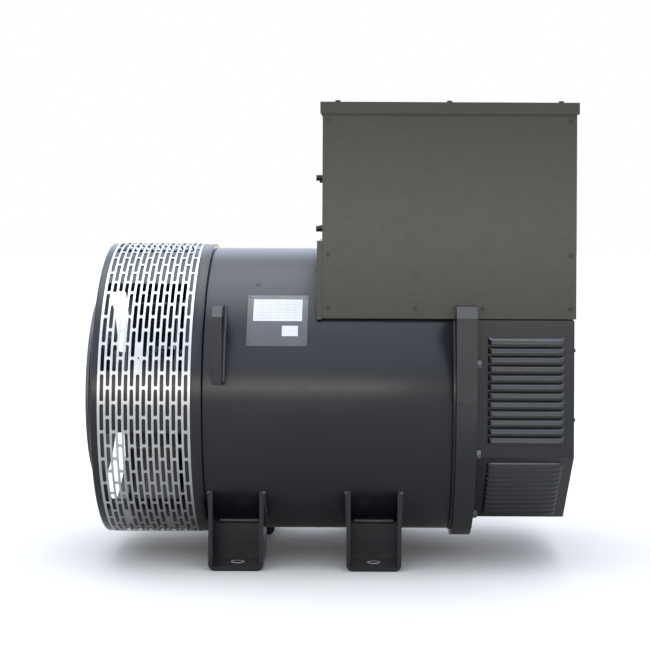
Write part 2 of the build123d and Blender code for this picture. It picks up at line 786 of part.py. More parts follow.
cover_length = cover_end - sheet - shield_end - fit_gap
with BuildPart() as rear_cover:
    with BuildSketch(Plane.YZ.offset(shield_end + fit_gap)) as outline:
        Polygon(*cover_outline, align=None)
        offset(amount=-sheet, mode=Mode.SUBTRACT)
        with Locations((0, cover_top)):
            Rectangle(2 * (cover_half - sheet), 4 * sheet, mode=Mode.SUBTRACT)
    extrude(amount=cover_length)
    with BuildSketch(Plane.YZ.offset(cover_end - 2 * sheet)):
        Polygon(*cover_outline, align=None)
        offset(amount=-cover_flange, mode=Mode.SUBTRACT)
        with Locations((0, cover_top)):
            Rectangle(2 * (cover_half - cover_flange), 4 * cover_flange, mode=Mode.SUBTRACT)
    extrude(amount=sheet)
    with BuildSketch(Plane.YZ.offset(louvre_start)):
        for row in louvre_rows:
            louvre_part(row, ((louvre_skin, 1), (louvre_skin, -2 * sheet),
                              (louvre_height, -2 * sheet), (louvre_height, 1)))
    extrude(amount=louvre_length, mode=Mode.SUBTRACT)
    with BuildSketch(Plane.YZ.offset(louvre_start - louvre_skin)):
        for row in louvre_rows:
            louvre_part(row, ((0, -1), (0, 0), (louvre_height, louvre_reach),
                              (louvre_height, louvre_reach - louvre_skin), (2 * louvre_skin, -1)))
    extrude(amount=louvre_length + 2 * louvre_skin)
    with BuildSketch(Plane.YZ.offset(cover_end - 2 * sheet)):
        with Locations(*rear_bolt_places):
            Circle(screw_radius + bolt_clearance)
    extrude(amount=sheet, mode=Mode.SUBTRACT)
rear_cover.part.label = "rear_cover"
export_step(rear_cover.part, "parts/rear_cover.step")

with BuildPart() as rear_cover_panel:
    with BuildSketch(Plane.YZ.offset(cover_end - sheet)):
        Polygon(*cover_outline, align=None)
        with Locations(*rear_bolt_places):
            Circle(screw_radius + bolt_clearance, mode=Mode.SUBTRACT)
    extrude(amount=sheet)
rear_cover_panel.part.label = "rear_cover_panel"
export_step(rear_cover_panel.part, "parts/rear_cover_panel.step")

with BuildPart() as rear_panel_bolts:
    with BuildSketch(Plane.YZ.offset(cover_end)):
        with Locations(*rear_bolt_places):
            RegularPolygon(screw_head, 6)
    extrude(amount=screw_head_height)
    with BuildSketch(Plane.YZ.offset(cover_end - screw_grip)):
        with Locations(*rear_bolt_places):
            Circle(screw_radius)
    extrude(amount=screw_grip)
rear_panel_bolts.part.label = "rear_panel_bolts"
export_step(rear_panel_bolts.part, "parts/rear_panel_bolts.step")

# ---------------------------------------------------------------- terminal box
with BuildPart() as terminal_box_body:
    with Locations((box_middle, 0, box_bottom)):
        Box(box_length, 2 * body_half, box_top - box_bottom, align=(Align.CENTER, Align.CENTER, Align.MIN))
        Box(
            box_length - 2 * sheet, 2 * (body_half - sheet), box_top - box_bottom - sheet,
            align=(Align.CENTER, Align.CENTER, Align.MIN), mode=Mode.SUBTRACT,
        )
    # openings under the lid and behind the two side panels
    with Locations((box_middle, 0, box_top)):
        Box(box_length - 2 * box_border, 2 * (body_half - box_border), 4 * sheet, mode=Mode.SUBTRACT)
    with Locations((box_middle, 0, (box_bottom + panel_top) / 2)):
        Box(
            box_length - 2 * box_border, 4 * body_half, panel_top - box_bottom - 2 * box_border,
            mode=Mode.SUBTRACT,
        )
    with Locations((box_start, 0, 0)):
        Cylinder(housing_radius + fit_gap, box_border, rotation=(0, 90, 0), mode=Mode.SUBTRACT)
    with Locations((box_start, 0, (gland_low + gland_high) / 2)):
        Box(4 * sheet, 2 * (gland_half - 2 * gland_inset), gland_high - gland_low - 4 * gland_inset,
            mode=Mode.SUBTRACT)
    with BuildSketch(Plane.YZ.offset(box_start)):
        with Locations(*gland_places):
            Circle(gland_stud + bolt_clearance)
    extrude(amount=sheet, mode=Mode.SUBTRACT)
    with BuildSketch(Plane.XZ.offset(-body_half)):
        with Locations(*panel_screw_places):
            Circle(screw_radius + bolt_clearance)
    extrude(amount=2 * body_half, mode=Mode.SUBTRACT)
    with BuildSketch(Plane.XY.offset(box_top)):
        with Locations(*lid_bolt_places):
            Circle(screw_radius + bolt_clearance)
    extrude(amount=-sheet, mode=Mode.SUBTRACT)
terminal_box_body.part.label = "terminal_box_body"
export_step(terminal_box_body.part, "parts/terminal_box_body.step")

with BuildPart() as terminal_box_saddle:
    with BuildSketch(Plane.YZ.offset(saddle_start)):
        with Locations((0, box_bottom - sheet)):
            Rectangle(2 * cover_half, saddle_top - box_bottom + sheet, align=(Align.CENTER, Align.MIN))
        Circle(housing_radius + fit_gap, mode=Mode.SUBTRACT)
    extrude(amount=box_start - saddle_start)
terminal_box_saddle.part.label = "terminal_box_saddle"
export_step(terminal_box_saddle.part, "parts/terminal_box_saddle.step")

for side, side_name in ((-1, "near"), (1, "far")):
    with BuildPart() as side_panel:
        with Locations((box_middle, side * (cover_half - sheet / 2), box_bottom)):
            Box(box_length, sheet, panel_top - box_bottom, align=(Align.CENTER, Align.CENTER, Align.MIN))
        for x, z in panel_screw_places:
            with Locations((x, side * cover_half, z)):
                Cylinder(
                    screw_radius + bolt_clearance, 4 * sheet, rotation=(90, 0, 0), mode=Mode.SUBTRACT,
                )
    side_panel.part.label = f"side_panel_{side_name}"
    export_step(side_panel.part, f"parts/side_panel_{side_name}.step")

    with BuildPart() as side_panel_screws:
        for x, z in panel_screw_places:
            with Locations((x, side * (cover_half + screw_head_height / 2), z)):
                Cylinder(screw_head, screw_head_height, rotation=(90, 0, 0))
            with Locations((x, side * (cover_half - screw_grip / 2), z)):
                Cylinder(screw_radius, screw_grip, rotation=(90, 0, 0))
    side_panel_screws.part.label = f"side_panel_screws_{side_name}"
    export_step(side_panel_screws.part, f"parts/side_panel_screws_{side_name}.step")

lid_middle = (lid_start + lid_end) / 2
with BuildPart() as terminal_box_lid:
    with Locations((lid_middle, 0, box_top + sheet)):
        Box(
            lid_end - lid_start, 2 * lid_half, lid_drop + sheet,
            align=(Align.CENTER, Align.CENTER, Align.MAX),
        )
        fillet(terminal_box_lid.edges().filter_by(Axis.Z), sheet)
    with Locations((lid_middle, 0, box_top)):
        Box(
            lid_end - lid_start - 2 * sheet, 2 * (lid_half - sheet), 2 * lid_drop,
            align=(Align.CENTER, Align.CENTER, Align.MAX), mode=Mode.SUBTRACT,
        )
    with BuildSketch(Plane.XY.offset(box_top)):
        with Locations(*lid_bolt_places):
            Circle(screw_radius + bolt_clearance)
    extrude(amount=sheet, mode=Mode.SUBTRACT)
terminal_box_lid.part.label = "terminal_box_lid"
export_step(terminal_box_lid.part, "parts/terminal_box_lid.step")

with BuildPart() as lid_bolts:
    with BuildSketch(Plane.XY.offset(box_top + sheet)):
        with Locations(*lid_bolt_places):
            RegularPolygon(1.4 * screw_head, 6)
    extrude(amount=1.4 * screw_head_height)
    with BuildSketch(Plane.XY.offset(box_top + sheet - screw_grip)):
        with Locations(*lid_bolt_places):
            Circle(screw_radius)
    extrude(amount=screw_grip)
lid_bolts.part.label = "lid_bolts"
export_step(lid_bolts.part, "parts/lid_bolts.step")

with BuildPart() as gland_plate:
    with BuildSketch(Plane.YZ.offset(box_start)):
        with Locations((0, (gland_low + gland_high) / 2)):
            Rectangle(2 * gland_half, gland_high - gland_low)
        with Locations(*gland_places):
            Circle(gland_stud + bolt_clearance, mode=Mode.SUBTRACT)
    extrude(amount=-gland_sheet)
gland_plate.part.label = "gland_plate"
export_step(gland_plate.part, "parts/gland_plate.step")

with BuildPart() as gland_plate_bolts:
    with BuildSketch(Plane.YZ.offset(box_start - gland_sheet)):
        with Locations(*gland_places):
            RegularPolygon(2 * gland_stud, 6)
    extrude(amount=-gland_stud_length)
    with BuildSketch(Plane.YZ.offset(box_start - gland_sheet)):
        with Locations(*gland_places):
            Circle(gland_stud)
    extrude(amount=gland_sheet + 3 * sheet)
gland_plate_bolts.part.label = "gland_plate_bolts"
export_step(gland_plate_bolts.part, "parts/gland_plate_bolts.step")

with BuildPart() as box_plug:
    with BuildSketch(Plane.YZ.offset(box_end)):
        with Locations((0, plug_height)):
            Circle(plug_radius)
    extrude(amount=plug_depth)
box_plug.part.label = "box_plug"
export_step(box_plug.part, "parts/box_plug.step")

with BuildPart() as equipment_tray:
    with Locations((box_middle, 0, tray_height)):
        Box(
            box_length - 2 * sheet - 2 * fit_gap, 2 * (body_half - sheet - fit_gap), tray_sheet,
            align=(Align.CENTER, Align.CENTER, Align.MIN),
        )
    with Locations((cable_hole_centre, 0, tray_height)):
        Box(cable_hole_length, 2 * board_width + cable_hole_width, 4 * tray_sheet, mode=Mode.SUBTRACT)
        Box(2 * cable_hole_length, 1.2 * board_width, tray_sheet,
            align=(Align.CENTER, Align.CENTER, Align.MIN))
equipment_tray.part.label = "equipment_tray"
export_step(equipment_tray.part, "parts/equipment_tray.step")

with BuildPart() as terminal_board:
    with Locations((board_start, 0, tray_top)):
        Box(board_length, board_width, board_thickness, align=(Align.MIN, Align.CENTER, Align.MIN))
terminal_board.part.label = "terminal_board"
export_step(terminal_board.part, "parts/terminal_board.step")

with BuildPart() as terminal_studs:
    with BuildSketch(Plane.XY.offset(board_top)):
        with Locations((board_start + board_length / 2, 0)):
            with GridLocations(board_length / stud_count * 2, board_width / 2, stud_count // 2, 2):
                Circle(stud_radius)
    extrude(amount=stud_height)
terminal_studs.part.label = "terminal_studs"
export_step(terminal_studs.part, "parts/terminal_studs.step")

with BuildPart() as voltage_regulator:
    with Locations((regulator_start, 0, tray_top)):
        Box(regulator_length, regulator_width, regulator_height,
            align=(Align.MIN, Align.CENTER, Align.MIN))
voltage_regulator.part.label = "voltage_regulator"
export_step(voltage_regulator.part, "parts/voltage_regulator.step")
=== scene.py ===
"""Detailed look of a single-bearing generator alternator head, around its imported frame.

X runs along the shaft from the engine flange, Z is up and the nameplate side faces -Y.
"""
from math import cos, pi, radians, sin, sqrt

import bpy
import numpy as np
from mathutils import Euler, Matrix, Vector


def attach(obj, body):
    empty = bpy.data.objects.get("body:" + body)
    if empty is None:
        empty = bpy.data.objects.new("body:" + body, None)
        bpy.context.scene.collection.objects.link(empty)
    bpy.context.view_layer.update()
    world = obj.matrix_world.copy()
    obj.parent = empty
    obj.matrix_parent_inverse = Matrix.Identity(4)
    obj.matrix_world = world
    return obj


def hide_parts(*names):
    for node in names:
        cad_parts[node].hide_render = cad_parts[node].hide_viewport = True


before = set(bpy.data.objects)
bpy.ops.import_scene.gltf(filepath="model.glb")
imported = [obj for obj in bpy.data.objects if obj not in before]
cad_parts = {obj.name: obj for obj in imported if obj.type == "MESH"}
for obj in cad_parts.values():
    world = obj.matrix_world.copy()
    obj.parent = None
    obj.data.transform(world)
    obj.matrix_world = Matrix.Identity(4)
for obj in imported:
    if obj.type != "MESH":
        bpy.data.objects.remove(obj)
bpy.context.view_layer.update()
FRAME = "stator_frame"
MM = 0.001


# ---------------------------------------------------------------- coupling disc pack and hub
# Thin spring-steel discs, bare and faintly oiled, clamped to a cast hub by a ring of bolts. Only the
# laminated edge of the pack shows beside the bell. The shaft behind them is turned steel.
def coat(name, colour, roughness, metallic=0.0, mottle=0.25, mottle_scale=7.0, peel_scale=900.0,
         peel=0.06, scuff=0.0, scuff_colour=(0.35, 0.34, 0.32), dust=0.0, dust_colour=(0.30, 0.28, 0.25),
         stretch=(1.0, 1.0, 1.0), gloss=0.5):
    """A finish in object space: slow mottling, broken roughness, fine peel, sparse scuffs and dust on top."""
    material = bpy.data.materials.new(name)
    material.use_nodes = True
    tree = material.node_tree
    shader = tree.nodes["Principled BSDF"]
    shader.inputs["Metallic"].default_value = metallic
    shader.inputs["Specular IOR Level"].default_value = gloss
    coordinate = tree.nodes.new("ShaderNodeTexCoord")
    mapping = tree.nodes.new("ShaderNodeMapping")
    mapping.inputs["Scale"].default_value = stretch
    tree.links.new(coordinate.outputs["Object"], mapping.inputs["Vector"])

    def noise(scale, detail, distortion=0.0):
        node = tree.nodes.new("ShaderNodeTexNoise")
        node.inputs["Scale"].default_value = scale
        node.inputs["Detail"].default_value = detail
        node.inputs["Distortion"].default_value = distortion
        tree.links.new(mapping.outputs["Vector"], node.inputs["Vector"])
        return node.outputs["Fac"]

    def remap(value, low, high, to_low, to_high):
        node = tree.nodes.new("ShaderNodeMapRange")
        for socket, number in zip(("From Min", "From Max", "To Min", "To Max"), (low, high, to_low, to_high)):
            node.inputs[socket].default_value = number
        tree.links.new(value, node.inputs["Value"])
        return node.outputs["Result"]

    def blend_colour(factor, first, second):
        node = tree.nodes.new("ShaderNodeMix")
        node.data_type = "RGBA"
        tree.links.new(factor, node.inputs["Factor"])
        for socket, value in ((node.inputs[6], first), (node.inputs[7], second)):
            if isinstance(value, bpy.types.NodeSocket):
                tree.links.new(value, socket)
            else:
                socket.default_value = (*value, 1.0)
        return node.outputs[2]

    slow = noise(mottle_scale, 6.0)
    dark = [c * (1 - mottle) for c in colour]
    light = [min(1.0, c * (1 + mottle)) for c in colour]
    tone = blend_colour(remap(slow, 0.3, 0.7, 0.0, 1.0), dark, light)
    if scuff:
        tone = blend_colour(remap(noise(110.0, 9.0, 0.6), 0.68, 0.78, 0.0, scuff), tone, scuff_colour)
    if dust:
        split = tree.nodes.new("ShaderNodeSeparateXYZ")
        tree.links.new(coordinate.outputs["Normal"], split.inputs["Vector"])
        tone = blend_colour(remap(split.outputs["Z"], 0.2, 1.0, 0.0, dust), tone, dust_colour)
    tree.links.new(tone, shader.inputs["Base Color"])
    tree.links.new(remap(noise(26.0, 5.0), 0.3, 0.7, roughness - 0.012, roughness + 0.012),
                   shader.inputs["Roughness"])
    bump = tree.nodes.new("ShaderNodeBump")
    bump.inputs["Strength"].default_value = peel
    bump.inputs["Distance"].default_value = 0.002
    tree.links.new(noise(peel_scale, 3.0), bump.inputs["Height"])
    tree.links.new(bump.outputs["Normal"], shader.inputs["Normal"])
    return material


def finish_node(node, material, round_mm=0.0):
    """Gives a solid of the frame a finish, and rounds its edges where a width is given."""
    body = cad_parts[node]
    body.data.materials.clear()
    body.data.materials.append(material)
    if round_mm:
        edge = body.modifiers.new("edge_round", "BEVEL")
        edge.width = round_mm * MM
        edge.segments = 3
        edge.limit_method = "ANGLE"
        edge.angle_limit = radians(40)
        edge.harden_normals = True


bright_steel = coat("bright_steel", (0.080, 0.080, 0.080), 0.46, 1.0, 0.12, 12.0, 1500.0, 0.05,
                    scuff=0.4, scuff_colour=(0.30, 0.26, 0.22), stretch=(6.0, 1.0, 1.0))
oiled_steel = coat("oiled_steel", (0.34, 0.33, 0.32), 0.38, 1.0, 0.2)
cast_black = coat("cast_black", (0.010, 0.010, 0.012), 0.50, 0.0, 0.3, 9.0, 380.0, 0.35, scuff=0.1, gloss=0.3)
finish_node("coupling_discs", bright_steel)
finish_node("coupling_clamp_ring", oiled_steel, 0.8)
finish_node("hub_bolts", oiled_steel, 0.6)
finish_node("coupling_hub", cast_black, 1.0)
finish_node("shaft", oiled_steel, 1.0)

# ---------------------------------------------------------------- fan
# Cast aluminium, backward-leaning blades between a back plate and a shroud, dull and dusty. It is seen
# only as grey shapes through the guard.
fan_metal = coat("fan_metal", (0.07, 0.07, 0.07), 0.55, 0.6, 0.3, 10.0, 300.0, 0.2, scuff=0.3)
finish_node("fan", fan_metal, 0.8)

# ---------------------------------------------------------------- drive-end bell
# One casting: front flange ring, six axial bars and rear ring. Machined, then sprayed semi-gloss black,
# so its outer corners are soft.
black_paint = coat("black_paint", (0.0062, 0.0066, 0.0085), 0.26, 0.0, 0.12, 5.0, 620.0, 0.05,
                   scuff=0.05, scuff_colour=(0.05, 0.05, 0.05), dust=0.02, gloss=0.27)


def make_mesh(name, points, faces, body, slot, material, sharp=38.0, replaces=()):
    """A finished mesh piece from points in millimetres and faces, riding on a body."""
    mesh = bpy.data.meshes.new(name)
    mesh.from_pydata([tuple(p) for p in np.asarray(points, dtype=float) * MM], [], faces)
    mesh.polygons.foreach_set("use_smooth", [True] * len(mesh.polygons))
    mesh.set_sharp_from_angle(angle=radians(sharp))
    mesh.materials.append(material)
    mesh.validate()
    piece = bpy.data.objects.new(name, mesh)
    bpy.context.scene.collection.objects.link(piece)
    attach(piece, body)
    if replaces:
        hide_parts(*replaces)
    return piece


def turned(profile, start=0.0, spread=360.0, steps=288):
    """A closed (x, r) outline swept about the shaft: (x, r cos a, r sin a), capped unless it closes."""
    outline = np.array(profile, dtype=float)
    full = spread >= 360.0
    angles = np.radians(start + spread * np.arange(steps + (0 if full else 1)) / steps)
    x, r = outline[:, 0], outline[:, 1]
    points = np.stack([np.broadcast_to(x, (len(angles), len(x))), np.outer(np.cos(angles), r),
                       np.outer(np.sin(angles), r)], axis=2).reshape(-1, 3)
    count, rows = len(x), len(angles)
    faces = [
        (i * count + j, i * count + (j + 1) % count, (i + 1) % rows * count + (j + 1) % count,
         (i + 1) % rows * count + j)
        for i in range(rows if full else rows - 1) for j in range(count)
    ]
    if not full:
        faces += [tuple(range(count))[::-1], tuple(range((rows - 1) * count, rows * count))]
    return points, faces


def merged(parts):
    """Several (points, faces) pairs as one."""
    points, faces, base = [], [], 0
    for part_points, part_faces in parts:
        points.append(np.asarray(part_points, dtype=float))
        faces += [tuple(base + k for k in face) for face in part_faces]
        base += len(part_points)
    return np.concatenate(points), faces


SEAT, DRUM, BAR_INNER, BELL_BORE = 440.325, 441.325, 405.0, 378.0
FRONT_RING, WINDOW_END, GUARD = 28.0, 262.0, (21.0, 285.0)
BELL_END, BAR_SPREAD = 316.0, 23.0
bell_parts = [
    turned([(-5, BELL_BORE), (-5, 392.6), (-4, 393.65), (0, 393.65), (0, 436.8), (0.9, 439.4), (2.6, 440.8),
            (5, DRUM), (20.2, DRUM), (21, 440.9), (21, SEAT), (27, SEAT), (FRONT_RING, 439.3),
            (FRONT_RING, BELL_BORE)]),
    turned([(WINDOW_END, 398), (WINDOW_END, 439.3), (263, SEAT), (GUARD[1], SEAT), (GUARD[1], 440.9),
            (285.8, DRUM), (314.4, DRUM), (315.4, 440.6), (315.4, 432), (BELL_END, 431), (BELL_END, 398)]),
]
for k in range(6):
    bell_parts.append(turned(
        [(FRONT_RING - 1, BAR_INNER), (FRONT_RING - 1, SEAT - 0.1), (WINDOW_END + 1, SEAT - 0.1),
         (WINDOW_END + 1, BAR_INNER)], 60 * k - BAR_SPREAD / 2, BAR_SPREAD, 16))
make_mesh("bell_casting", *merged(bell_parts), FRAME, "black_paint", black_paint, replaces=["drive_end_bell"])
finish_node("bell_bolts", black_paint, 0.8)

# ---------------------------------------------------------------- slotted guard
# Bright zinc-coated sheet punched with staggered round-ended slots and rolled round the bell. A few
# cells are left solid, each with one small hole for a fixing.
zinc_sheet = coat("zinc_sheet", (0.36, 0.36, 0.36), 0.34, 0.95, 0.08, 30.0, 500.0, 0.05,
                  scuff=0.2, scuff_colour=(0.42, 0.42, 0.42))
COLUMNS, ROWS, PITCH = 15, 33, 17.0
SLOT_HALF_WIDTH, SLOT_HALF_LENGTH, GUARD_OUT, GUARD_SHEET = 5.4, 38.5, 442.625, 2.0
BLANKS = {(6, 7), (3, 13), (10, 14)}
PATTERN_TURN, FIRST_COLUMN, FIXING_HOLE = radians(-2.5), 34.0, (2.5, 2.6)


def guard_cell(centre_x, centre_angle, hole_u, hole_v, pitch_v):
    """One cell with a hole: both skins and the hole's wall, rolled to (x, -R sin a, R cos a)."""
    cap = np.linspace(0, pi, 8)
    sides = np.array([20.0, 6.6, -6.6, -20.0])
    bend = hole_v - hole_u
    u = np.concatenate([hole_u * np.cos(cap), [-hole_u] * 4, -hole_u * np.cos(cap), [hole_u] * 4])
    v = np.concatenate([bend + hole_u * np.sin(cap), sides * bend / 33.1, -bend - hole_u * np.sin(cap),
                        -sides * bend / 33.1])
    half_u, half_v = PITCH / 2, pitch_v / 2
    edge_u = np.array([1, 1, 1, 0.35, -0.35, -1, -1, -1]) * half_u
    edge_v = np.array([33.1, 38, half_v, half_v, half_v, half_v, 38, 33.1])
    rim_u = np.concatenate([edge_u, [-half_u] * 4, -edge_u, [half_u] * 4])
    rim_v = np.concatenate([edge_v, sides, -edge_v, -sides])
    rings = []
    for radius, du, dv in ((GUARD_OUT, rim_u, rim_v), (GUARD_OUT, u, v),
                           (GUARD_OUT - GUARD_SHEET, u, v), (GUARD_OUT - GUARD_SHEET, rim_u, rim_v)):
        angle = centre_angle + dv / GUARD_OUT
        rings.append(np.stack([centre_x + du, -radius * np.sin(angle), radius * np.cos(angle)], axis=1))
    count = len(u)
    faces = [(k * count + j, k * count + (j + 1) % count, (k + 1) * count + (j + 1) % count,
              (k + 1) * count + j) for k in range(3) for j in range(count)]
    return np.concatenate(rings), faces


cells = []
for column in range(COLUMNS):
    for row in range(ROWS):
        hole = FIXING_HOLE if (column, row) in BLANKS else (SLOT_HALF_WIDTH, SLOT_HALF_LENGTH)
        angle = (row + column % 2 / 2) * 2 * pi / ROWS + PATTERN_TURN
        cells.append(guard_cell(FIRST_COLUMN + column * PITCH, angle, *hole, 2 * pi * GUARD_OUT / ROWS))
for low, high in ((21.3, 25.5), (280.5, 284.7)):
    cells.append(turned([(low, GUARD_OUT - GUARD_SHEET), (low, GUARD_OUT), (high, GUARD_OUT),
                         (high, GUARD_OUT - GUARD_SHEET)]))
make_mesh("slotted_guard", *merged(cells), FRAME, "galvanised_sheet", zinc_sheet, replaces=["fan_guard"])

# ---------------------------------------------------------------- housing
# Rolled and seam-welded plate with a turned end ring, in the same black. Dished plug welds over the
# core bars show as shallow buttons low and high on each side.
make_mesh("rolled_housing", *turned([
    (316.6, 388), (316.6, 428.6), (317.6, 429.7), (319, 430), (1031, 430), (1032, 429.4), (1032, 388),
    (1006, 388), (1006, 418), (342, 418), (342, 388)]), FRAME, "black_paint", black_paint,
    replaces=["housing_shell"])
make_mesh("housing_end_band", *turned([
    (1032.2, 388), (1032.2, 432.2), (1033, 433), (1039, 433), (1039.8, 432.2), (1039.8, 388)]),
    FRAME, "black_paint", black_paint, replaces=["housing_end_ring"])


def button(x, angle, radius, radius_out):
    """A dished plug weld: h = 1.6 (1 - q^2) - 2.2 exp(-8 q^2) over the disc q < 1, in millimetres."""
    rings, around = 7, 28
    q = np.repeat(np.linspace(0.02, 1, rings), around)
    t = np.tile(2 * pi * np.arange(around) / around, rings)
    height = radius_out + 1.6 * (1 - q**2) - 2.2 * np.exp(-8 * q**2)
    a = angle + q * radius * np.sin(t) / radius_out
    points = np.stack([x + q * radius * np.cos(t), height * np.cos(a), height * np.sin(a)], axis=1)
    faces = [(i * around + j, i * around + (j + 1) % around, (i + 1) * around + (j + 1) % around,
              (i + 1) * around + j) for i in range(rings - 1) for j in range(around)]
    return points, faces + [tuple(range(around))]


HOUSING = 430.0
places = [(465, 50), (465, 130), (525, -46), (690, -46), (525, 226), (690, 226)]
make_mesh("plug_welds", *merged([button(x, radians(a), 9.0, HOUSING + 0.1) for x, a in places]),
          FRAME, "black_paint", black_paint)

# ---------------------------------------------------------------- lifting lugs
# Gas-cut plate, ground and welded down both faces to the housing. The bead is a ripple of small steps.
finish_node("lifting_lug_near", black_paint, 1.6)
finish_node("lifting_lug_far", black_paint, 1.6)


def bead(path, radius, pitch=5.0, lump=0.0):
    """A weld bead: radius r (1 + 0.12 |sin(pi s / pitch)| + lump exp(-(s / 9)^2)) along a path."""
    path = np.array(path, dtype=float)
    lengths = np.concatenate([[0], np.cumsum(np.linalg.norm(np.diff(path, axis=0), axis=1))])
    count = max(8, int(lengths[-1] / 1.6))
    s = np.linspace(0, lengths[-1], count)
    centre = np.stack([np.interp(s, lengths, path[:, k]) for k in range(3)], axis=1)
    tangent = np.gradient(centre, axis=0)
    tangent /= np.linalg.norm(tangent, axis=1)[:, None]
    side = np.cross(tangent, (0.123, 0.456, 0.881))
    side /= np.linalg.norm(side, axis=1)[:, None]
    other = np.cross(tangent, side)
    around = 10
    t = 2 * pi * np.arange(around) / around
    size = radius * (1 + 0.12 * np.abs(np.sin(pi * s / pitch)) + lump * np.exp(-(s / 9)**2)) * np.sqrt(
        np.clip(np.minimum(s, lengths[-1] - s) / radius, 0.05, 1))
    points = (centre[:, None] + size[:, None, None] * (
        np.cos(t)[None, :, None] * side[:, None] + np.sin(t)[None, :, None] * other[:, None])).reshape(-1, 3)
    faces = [(i * around + j, i * around + (j + 1) % around, (i + 1) * around + (j + 1) % around,
              (i + 1) * around + j) for i in range(count - 1) for j in range(around)]
    return points, faces + [tuple(range(around))[::-1], tuple(range((count - 1) * around, count * around))]


def on_housing(x, z, side):
    """A point of the housing's outside at a height, on the side of the sign given."""
    return (x, side * sqrt(max(HOUSING**2 - z**2, 0.0)), z)


weld_paint = coat("weld_paint", (0.020, 0.020, 0.020), 0.38, 0.1, 0.5, 80.0, 300.0, 0.3,
                  scuff=0.9, scuff_colour=(0.22, 0.22, 0.20))
LUG_FACES, LUG_HEIGHTS = (347.0, 377.0), np.linspace(54, 270, 24)
make_mesh("lug_welds", *merged([
    bead([on_housing(x, z, side) for z in LUG_HEIGHTS], 4.5) for side in (-1, 1) for x in LUG_FACES]),
    FRAME, "black_paint", weld_paint)

# ---------------------------------------------------------------- feet
# Bent 12 mm plate channels with a web across the back, fillet-welded to the housing. The paint is worn
# to a pale ring where a washer has sat round each hold-down hole.
worn_ring = coat("worn_ring", (0.60, 0.58, 0.54), 0.5, 0.2, 0.3, 60.0, 700.0, 0.3)
foot_welds, foot_rings = [], []
for end, foot_x in (("front", 408.0), ("rear", 808.0)):
    for side_name, side in (("near", -1), ("far", 1)):
        finish_node(f"foot_{end}_{side_name}", black_paint, 1.4)
        for face_x in (foot_x - 80.5, foot_x + 80.5):
            edge = np.linspace(337, 196, 20)
            seam = [(face_x, side * y, -sqrt(HOUSING**2 - y**2)) for y in edge]
            foot_welds.append(bead(seam, 5.0, lump=0.7))
        foot_welds.append(bead([(x, side * 207.0, -sqrt(HOUSING**2 - 206.5**2))
                                for x in np.linspace(foot_x - 66, foot_x + 66, 12)], 8.0, 7.0))
        around, ring_points = 48, []
        for height, radius in ((-487.9, 20.0), (-487.6, 19.6), (-487.6, 14.4), (-487.9, 14.1)):
            a = 2 * pi * np.arange(around) / around
            ring_points.append(np.stack([foot_x + radius * np.cos(a), side * 265 + radius * np.sin(a),
                                         np.full(around, height)], axis=1))
        foot_rings.append((np.concatenate(ring_points), [
            (k * around + j, k * around + (j + 1) % around, (k + 1) % 4 * around + (j + 1) % around,
             (k + 1) % 4 * around + j) for k in range(4) for j in range(around)]))
make_mesh("foot_welds", *merged(foot_welds), FRAME, "black_paint", weld_paint)
make_mesh("washer_marks", *merged(foot_rings), FRAME, "bare_steel", worn_ring)

# ---------------------------------------------------------------- stator and rotor inside
# Varnished laminations and dark red-brown varnished copper. They show only as depth behind the guard
# and the louvres.
varnished_iron = coat("varnished_iron", (0.05, 0.045, 0.045), 0.4, 0.4, 0.2, peel_scale=1400.0,
                      stretch=(30.0, 1.0, 1.0))
varnished_copper = coat("varnished_copper", (0.16, 0.05, 0.02), 0.28, 0.0, 0.3, peel_scale=260.0, peel=0.4)
for node in ("stator_core", "rotor_core", "exciter_stator", "exciter_rotor"):
    finish_node(node, varnished_iron)
for node in ("stator_winding", "rotor_windings"):
    finish_node(node, varnished_copper, 2.0)
for node in ("bearing_outer_ring", "bearing_inner_ring", "bearing_rollers"):
    finish_node(node, bright_steel, 0.5)
finish_node("rectifier_plate", fan_metal, 0.6)
finish_node("bearing_cap", cast_black, 1.5)

# ---------------------------------------------------------------- rear shield
# Sand casting with two ears, machined on its faces and left rough round the rim, under the same black.
# Plated-over hex bolts and thick washers stand on its rear face.
cast_paint = coat("cast_paint", (0.0085, 0.0088, 0.0105), 0.36, 0.0, 0.3, 9.0, 210.0, 0.5,
                  scuff=0.12, scuff_colour=(0.05, 0.05, 0.05), dust=0.03, gloss=0.30)
bolt_finish = coat("bolt_finish", (0.075, 0.075, 0.072), 0.30, 0.5, 0.3, 60.0, 900.0, 0.1, scuff=0.3)
finish_node("rear_shield", cast_paint, 2.2)
finish_node("shield_bolts", bolt_finish, 0.9)
finish_node("shield_washers", cast_black, 0.5)

# ---------------------------------------------------------------- louvred rear cover
# Folded 3 mm sheet. Rows of pressed louvres on the sides and the slanting lower panels open downwards,
# each with rounded ends that blend into the sheet.
COVER_X, COVER_HALF, COVER_TOP, CREASE = (1098.3, 1379.0), 372.0, 232.0, -162.0
FLOOR, FLOOR_HALF, SHEET, SHEET_ROUND = -381.0, 110.0, 3.0, 0.6
LOUVRE_X, LOUVRE_PITCH, LOUVRE_HEIGHT, LOUVRE_OUT = (1133.0, 1354.0), 25.7, 20.0, 12.0
SIDE_MARGIN, SLANT_MARGIN, SIDE_COUNT, SLANT_COUNT = 50.0, 30.0, 12, 11


def stadium(low, high, bottom, top, radius, steps=6):
    """A rounded rectangle's outline."""
    outline = []
    for cx, cy, start in ((high - radius, top - radius, 0), (low + radius, top - radius, 90),
                          (low + radius, bottom + radius, 180), (high - radius, bottom + radius, 270)):
        for k in range(steps + 1):
            a = radians(start + 90 * k / steps)
            outline.append((cx + radius * cos(a), cy + radius * sin(a)))
    return outline


